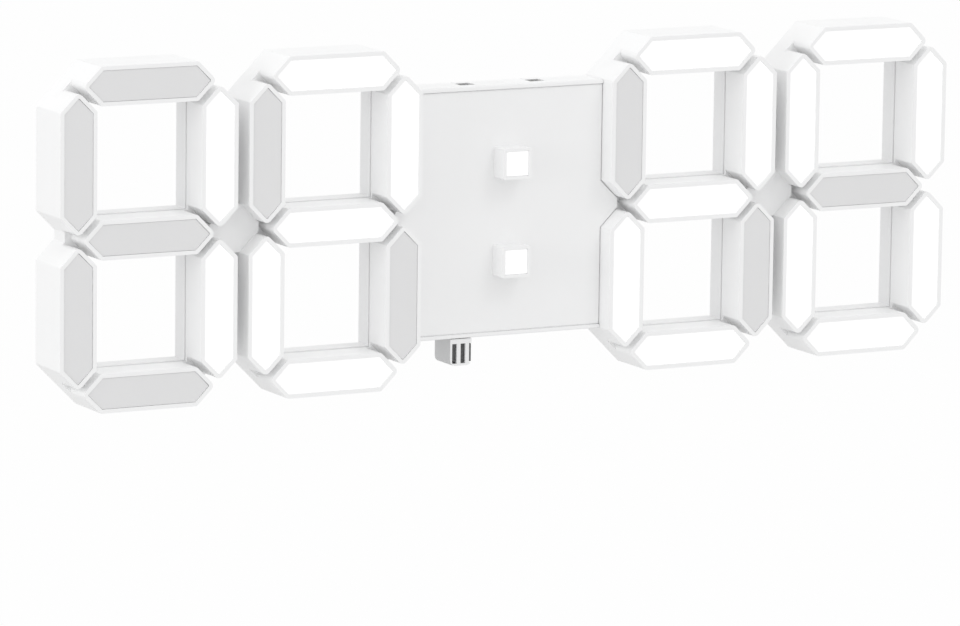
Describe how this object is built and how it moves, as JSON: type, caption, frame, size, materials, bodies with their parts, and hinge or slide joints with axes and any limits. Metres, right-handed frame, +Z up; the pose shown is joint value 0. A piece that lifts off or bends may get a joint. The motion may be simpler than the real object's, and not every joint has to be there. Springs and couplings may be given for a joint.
{
  "type": "digital wall clock",
  "caption": "Large skeleton digital wall clock with raised light-tower segments, a recessed colon panel and a vented sensor.",
  "frame": {"origin": "middle of the back face, which lies against the wall", "axes": "+X to the right of somebody reading the clock, +Y back towards the wall, +Z up"},
  "size_m": [0.45, 0.0265, 0.1534],
  "materials": {
    "white_housing": "satin",
    "white_cover": "matte",
    "lit_lens": "satin",
    "unlit_lens": "satin",
    "white_board": "satin",
    "green_board": "satin",
    "grey_ribbon": "satin",
    "grey_screen": "matte",
    "black_plastic": "matte",
    "button_plastic": "matte",
    "steel_screw": "satin",
    "cell_steel": "brushed",
    "shield_metal": "satin"
  },
  "bodies": {
    "clock": {"front_housing_hours": "white_housing", "rear_cover_hours": "white_cover", "led_board_hours": "white_board", "ribbon_link_hours": "grey_ribbon", "lens_hour_tens_top": "unlit_lens", "lens_hour_tens_upper_left": "unlit_lens", "lens_hour_tens_upper_right": "lit_lens", "lens_hour_tens_middle": "unlit_lens", "lens_hour_tens_lower_left": "unlit_lens", "lens_hour_tens_lower_right": "lit_lens", "lens_hour_tens_bottom": "unlit_lens", "lens_hour_ones_top": "lit_lens", "lens_hour_ones_upper_left": "unlit_lens", "lens_hour_ones_upper_right": "lit_lens", "lens_hour_ones_middle": "lit_lens", "lens_hour_ones_lower_left": "lit_lens", "lens_hour_ones_lower_right": "unlit_lens", "lens_hour_ones_bottom": "lit_lens", "cover_screw_hours_1": "steel_screw", "cover_screw_hours_2": "steel_screw", "cover_screw_hours_3": "steel_screw", "front_housing_minutes": "white_housing", "rear_cover_minutes": "white_cover", "led_board_minutes": "white_board", "ribbon_link_minutes": "grey_ribbon", "lens_minute_tens_top": "lit_lens", "lens_minute_tens_upper_left": "unlit_lens", "lens_minute_tens_upper_right": "lit_lens", "lens_minute_tens_middle": "lit_lens", "lens_minute_tens_lower_left": "lit_lens", "lens_minute_tens_lower_right": "unlit_lens", "lens_minute_tens_bottom": "lit_lens", "lens_minute_ones_top": "lit_lens", "lens_minute_ones_upper_left": "lit_lens", "lens_minute_ones_upper_right": "lit_lens", "lens_minute_ones_middle": "unlit_lens", "lens_minute_ones_lower_left": "lit_lens", "lens_minute_ones_lower_right": "lit_lens", "lens_minute_ones_bottom": "lit_lens", "cover_screw_minutes_1": "steel_screw", "cover_screw_minutes_2": "steel_screw", "cover_screw_minutes_3": "steel_screw", "centre_panel": "white_housing", "rear_cover_centre": "white_cover", "main_board": "green_board", "lens_colon_upper": "lit_lens", "lens_colon_lower": "lit_lens", "cover_screw_centre": "steel_screw", "coin_cell": "cell_steel", "cell_holder": "black_plastic", "buzzer": "black_plastic", "radio_module": "shield_metal", "power_socket": "shield_metal", "sensor_cover": "white_housing", "sensor_screen": "grey_screen", "sensor_board": "black_plastic"},
    "button_set": {"button_set": "button_plastic"},
    "button_up": {"button_up": "button_plastic"},
    "button_down": {"button_down": "button_plastic"},
    "battery_door": {"battery_door": "white_cover"}
  },
  "joints": [
    {"name": "press_set", "type": "slide", "parent": "clock", "child": "button_set", "axis": [0, -1, 0], "range_m": [0, 0.0005], "stiffness_N_per_m": 800, "springref_m": -0.0003},
    {"name": "press_up", "type": "slide", "parent": "clock", "child": "button_up", "axis": [0, -1, 0], "range_m": [0, 0.0005], "stiffness_N_per_m": 800, "springref_m": -0.0003},
    {"name": "press_down", "type": "slide", "parent": "clock", "child": "button_down", "axis": [0, -1, 0], "range_m": [0, 0.0005], "stiffness_N_per_m": 800, "springref_m": -0.0003},
    {"name": "lift_battery_door", "type": "slide", "parent": "clock", "child": "battery_door", "axis": [0, 1, 0], "range_m": [0, 0.012]}
  ]
}
